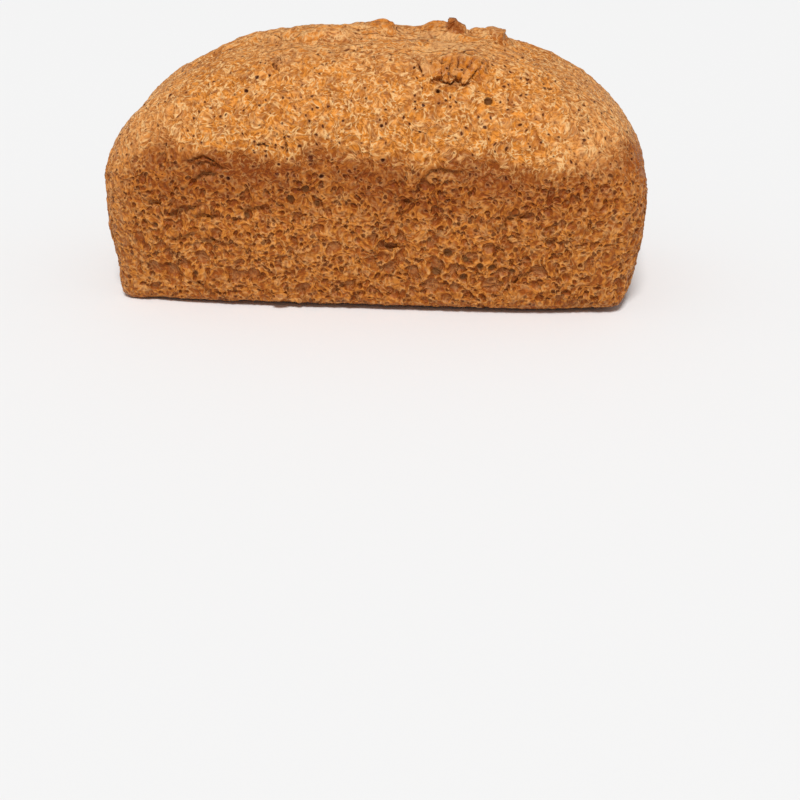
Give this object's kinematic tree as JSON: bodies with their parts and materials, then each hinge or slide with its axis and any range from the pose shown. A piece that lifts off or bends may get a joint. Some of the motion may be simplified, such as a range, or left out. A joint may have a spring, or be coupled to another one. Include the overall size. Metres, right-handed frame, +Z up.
{
  "type": "loaf of bread",
  "caption": "Whole tin loaf of bread with tapered moulded sides, a high domed top, a lengthwise burst seam and torn lumps on its crest.",
  "frame": {"origin": "middle of the loaf's outline on the plane it rests on", "axes": "+X along the loaf's length, -Y its front long side, with the torn tongue of crust, +Z up"},
  "size_m": [0.2094, 0.1042, 0.1036],
  "materials": {
    "crust": null
  },
  "bodies": {
    "root": {"loaf": "crust"}
  },
  "joints": []
}
